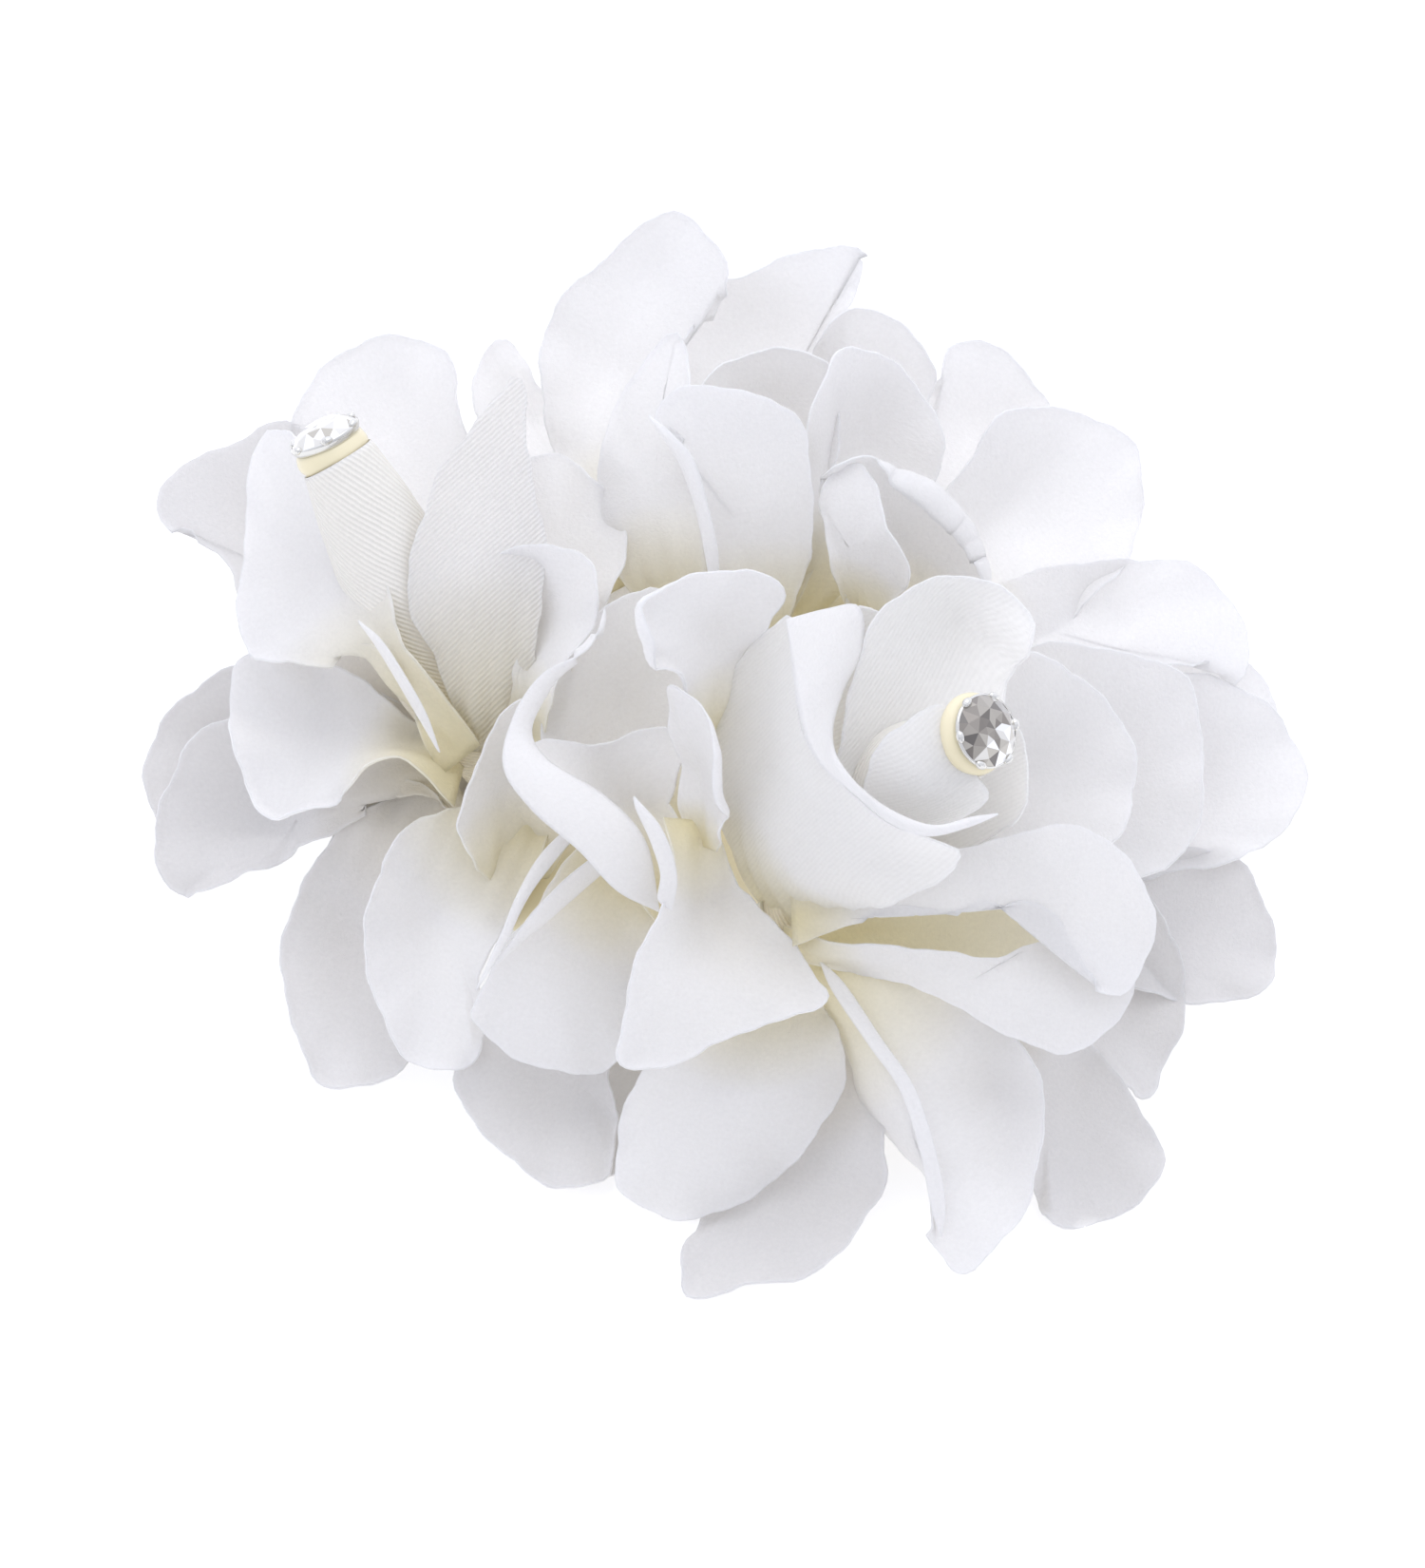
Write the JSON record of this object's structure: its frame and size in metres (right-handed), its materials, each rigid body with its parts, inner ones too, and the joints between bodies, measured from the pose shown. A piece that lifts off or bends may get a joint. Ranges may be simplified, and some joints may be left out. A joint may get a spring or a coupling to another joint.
{
  "type": "flower hair clip",
  "caption": "Spray of white fabric flowers with stone-tipped rolled buds, glued on a felt disc over a sprung toothed hair clip.",
  "frame": {"origin": "middle of the faces that grip the hair, on the underside plane of the fixed arm's teeth line", "axes": "+Z away from the head, through the flowers; +X along the clip, from the jaw tips to the finger tab; +Y towards the top flower"},
  "size_m": [0.1144, 0.0998, 0.0533],
  "materials": {
    "satin_petal": "heat-formed white polyester satin, faint sheen",
    "satin_rib": "white twill with a fine diagonal rib, rolled",
    "clear_stone": "faceted clear crystal, foiled behind",
    "silver_setting": "pressed brass plated silver, bright",
    "hot_glue": "cooled hot-melt glue, cream, semi-gloss",
    "plastic_pip": "moulded polyethylene, cream",
    "white_felt": "pressed white felt, matte and fuzzy",
    "nickel_steel": "stamped spring steel, nickel plated",
    "spring_wire": "drawn spring wire, oiled"
  },
  "bodies": {
    "spray": {"left_stem": "plastic_pip", "left_bud": "satin_rib", "left_bud_wrap": "satin_rib", "left_wrap_petals": "satin_petal", "left_inner_petals": "satin_petal", "left_outer_petals": "satin_petal", "left_stone_glue": "hot_glue", "left_stone_cup": "silver_setting", "left_stone": "clear_stone", "right_stem": "plastic_pip", "right_bud": "satin_rib", "right_bud_wrap": "satin_rib", "right_middle_petals": "satin_petal", "right_inner_petals": "satin_petal", "right_outer_petals": "satin_petal", "right_stone_glue": "hot_glue", "right_stone_cup": "silver_setting", "right_stone": "clear_stone", "top_stem": "plastic_pip", "top_bud": "satin_rib", "top_bud_wrap": "satin_rib", "top_wrap_petals": "satin_petal", "top_inner_petals": "satin_petal", "top_outer_petals": "satin_petal", "top_stone_glue": "hot_glue", "top_stone_cup": "silver_setting", "top_stone": "clear_stone", "hot_glue_mound": "hot_glue", "felt_base": "white_felt", "felt_patch": "white_felt", "clip_arm": "nickel_steel", "hinge_pin": "nickel_steel", "torsion_spring": "spring_wire"},
    "jaw": {"clip_jaw": "nickel_steel"}
  },
  "joints": [
    {"name": "jaw_hinge", "type": "hinge", "parent": "spray", "child": "jaw", "pos_m": [0.008, 0, -0.0032], "axis": [0, -1, 0], "range_deg": [0, 30], "stiffness_Nm_per_rad": 0.06, "springref_deg": -28.65, "deforming": ["torsion_spring"]}
  ]
}
